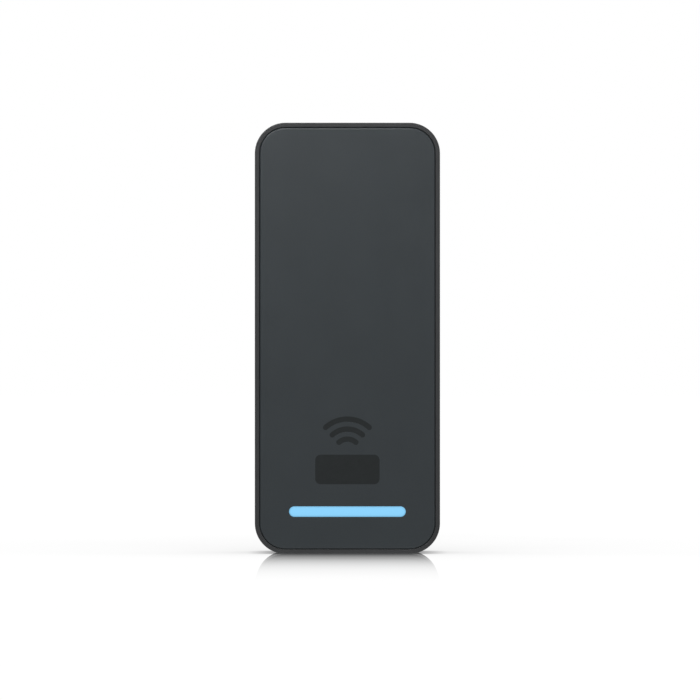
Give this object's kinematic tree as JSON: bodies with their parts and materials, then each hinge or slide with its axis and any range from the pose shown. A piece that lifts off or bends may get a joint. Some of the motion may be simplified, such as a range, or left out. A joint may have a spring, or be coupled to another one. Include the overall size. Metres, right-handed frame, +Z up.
{
  "type": "rfid card reader",
  "caption": "Slim wall-mounted card reader: rounded upright head with a flush panel, card symbol and light bar, hung on a wall bracket.",
  "frame": {"origin": "centre of the wall screws' pattern, on the wall plane", "axes": "+Z up along the tall side, +Y into the wall, so the front face looks along -Y, +X to the viewer's right"},
  "size_m": [0.05, 0.02, 0.1164],
  "materials": {
    "housing_plastic": "fine satin texture, anthracite",
    "panel_plastic": "smooth satin, bluish anthracite",
    "symbol_print": "darker semi-gloss inlay",
    "lit_lens": "milky, lit pale blue",
    "diffuser": "milky white",
    "led_package": "white package with yellow phosphor",
    "adhesive": "black double-sided foam tape",
    "circuit_board": "green solder mask",
    "copper": "bare copper track",
    "ferrite": "matt dark sheet",
    "connector_plastic": "black moulding",
    "screw_steel": "zinc plated",
    "chip_plastic": "matt black moulding",
    "tinned_steel": "tin plated can",
    "can_aluminium": "satin aluminium cans",
    "jack_steel": "nickel plated sheet",
    "gold_contact": "gold plated wire",
    "gasket_foam": "closed-cell foam",
    "gasket_silicone": "grey silicone",
    "membrane": "white porous film",
    "cover_plastic": "black spark-eroded texture",
    "insert_brass": "knurled brass",
    "label_film": "blank silver-grey label",
    "spring_steel": "drawn spring wire",
    "plunger_plastic": "natural acetal",
    "button_rubber": "dark silicone",
    "nylon_ring": "natural nylon",
    "black_screw": "black zinc plated",
    "bracket_steel": "zinc plated pressed steel"
  },
  "bodies": {
    "wall_mount": {"wall_gasket": "gasket_foam", "wall_bracket": "bracket_steel", "bracket_nut": "screw_steel"},
    "head": {"housing": "housing_plastic", "front_panel": "panel_plastic", "panel_adhesive": "adhesive", "card_symbol": "symbol_print", "light_bar_lens": "lit_lens", "light_guide": "diffuser", "status_leds": "led_package", "antenna_board": "circuit_board", "antenna_coil": "copper", "ferrite_sheet": "ferrite", "antenna_header": "connector_plastic", "main_board": "circuit_board", "board_screws": "screw_steel", "processor_chip": "chip_plastic", "radio_shield": "tinned_steel", "nfc_chip": "chip_plastic", "bluetooth_antenna": "tinned_steel", "poe_controller": "chip_plastic", "poe_transformer": "ferrite", "power_inductor": "ferrite", "filter_capacitors": "can_aluminium", "ethernet_transformer": "chip_plastic", "jack_shell": "jack_steel", "jack_insert": "connector_plastic", "jack_contacts": "gold_contact", "jack_gasket": "gasket_foam", "buzzer": "chip_plastic", "vent_membrane": "membrane", "rear_cover": "cover_plastic", "housing_gasket": "gasket_silicone", "cover_inserts": "insert_brass", "cover_screws": "screw_steel", "rating_label": "label_film", "tamper_spring": "spring_steel", "tamper_switch": "chip_plastic", "reset_switch": "tinned_steel"},
    "tamper_pin": {"tamper_plunger": "plunger_plastic"},
    "reset_key": {"reset_button": "button_rubber"},
    "reset_actuator": {"reset_switch_stem": "plunger_plastic"},
    "screw_carrier": {"screw_retainer": "nylon_ring"},
    "screw": {"security_screw": "black_screw"}
  },
  "joints": [
    {"name": "head_tilt", "type": "hinge", "parent": "wall_mount", "child": "head", "pos_m": [0, -0.0042, 0.0543], "axis": [-1, 0, 0], "range_deg": [0, 18]},
    {"name": "tamper_slide", "type": "slide", "parent": "head", "child": "tamper_pin", "axis": [0, 1, 0], "range_m": [0, 0.00142], "deforming": ["tamper_spring"]},
    {"name": "reset_press", "type": "slide", "parent": "head", "child": "reset_key", "axis": [0, -1, 0], "range_m": [0, 0.0004]},
    {"name": "reset_actuator_press", "type": "slide", "parent": "head", "child": "reset_actuator", "axis": [0, -1, 0], "range_m": [0, 0.0004]},
    {"name": "screw_lift", "type": "slide", "parent": "head", "child": "screw_carrier", "axis": [0, 0, 1], "range_m": [0, 0.003]},
    {"name": "screw_turn", "type": "hinge", "parent": "screw_carrier", "child": "screw", "pos_m": [0, -0.0049, -0.055], "axis": [0, 0, 1], "range_deg": [0, 2161]}
  ],
  "couplings": [
    {"joint": "tamper_slide", "follows": "head_tilt", "m_per_rad": 0.0045},
    {"joint": "reset_actuator_press", "follows": "reset_press", "ratio": 1},
    {"joint": "screw_turn", "follows": "screw_lift", "rad_per_m": 12566}
  ]
}
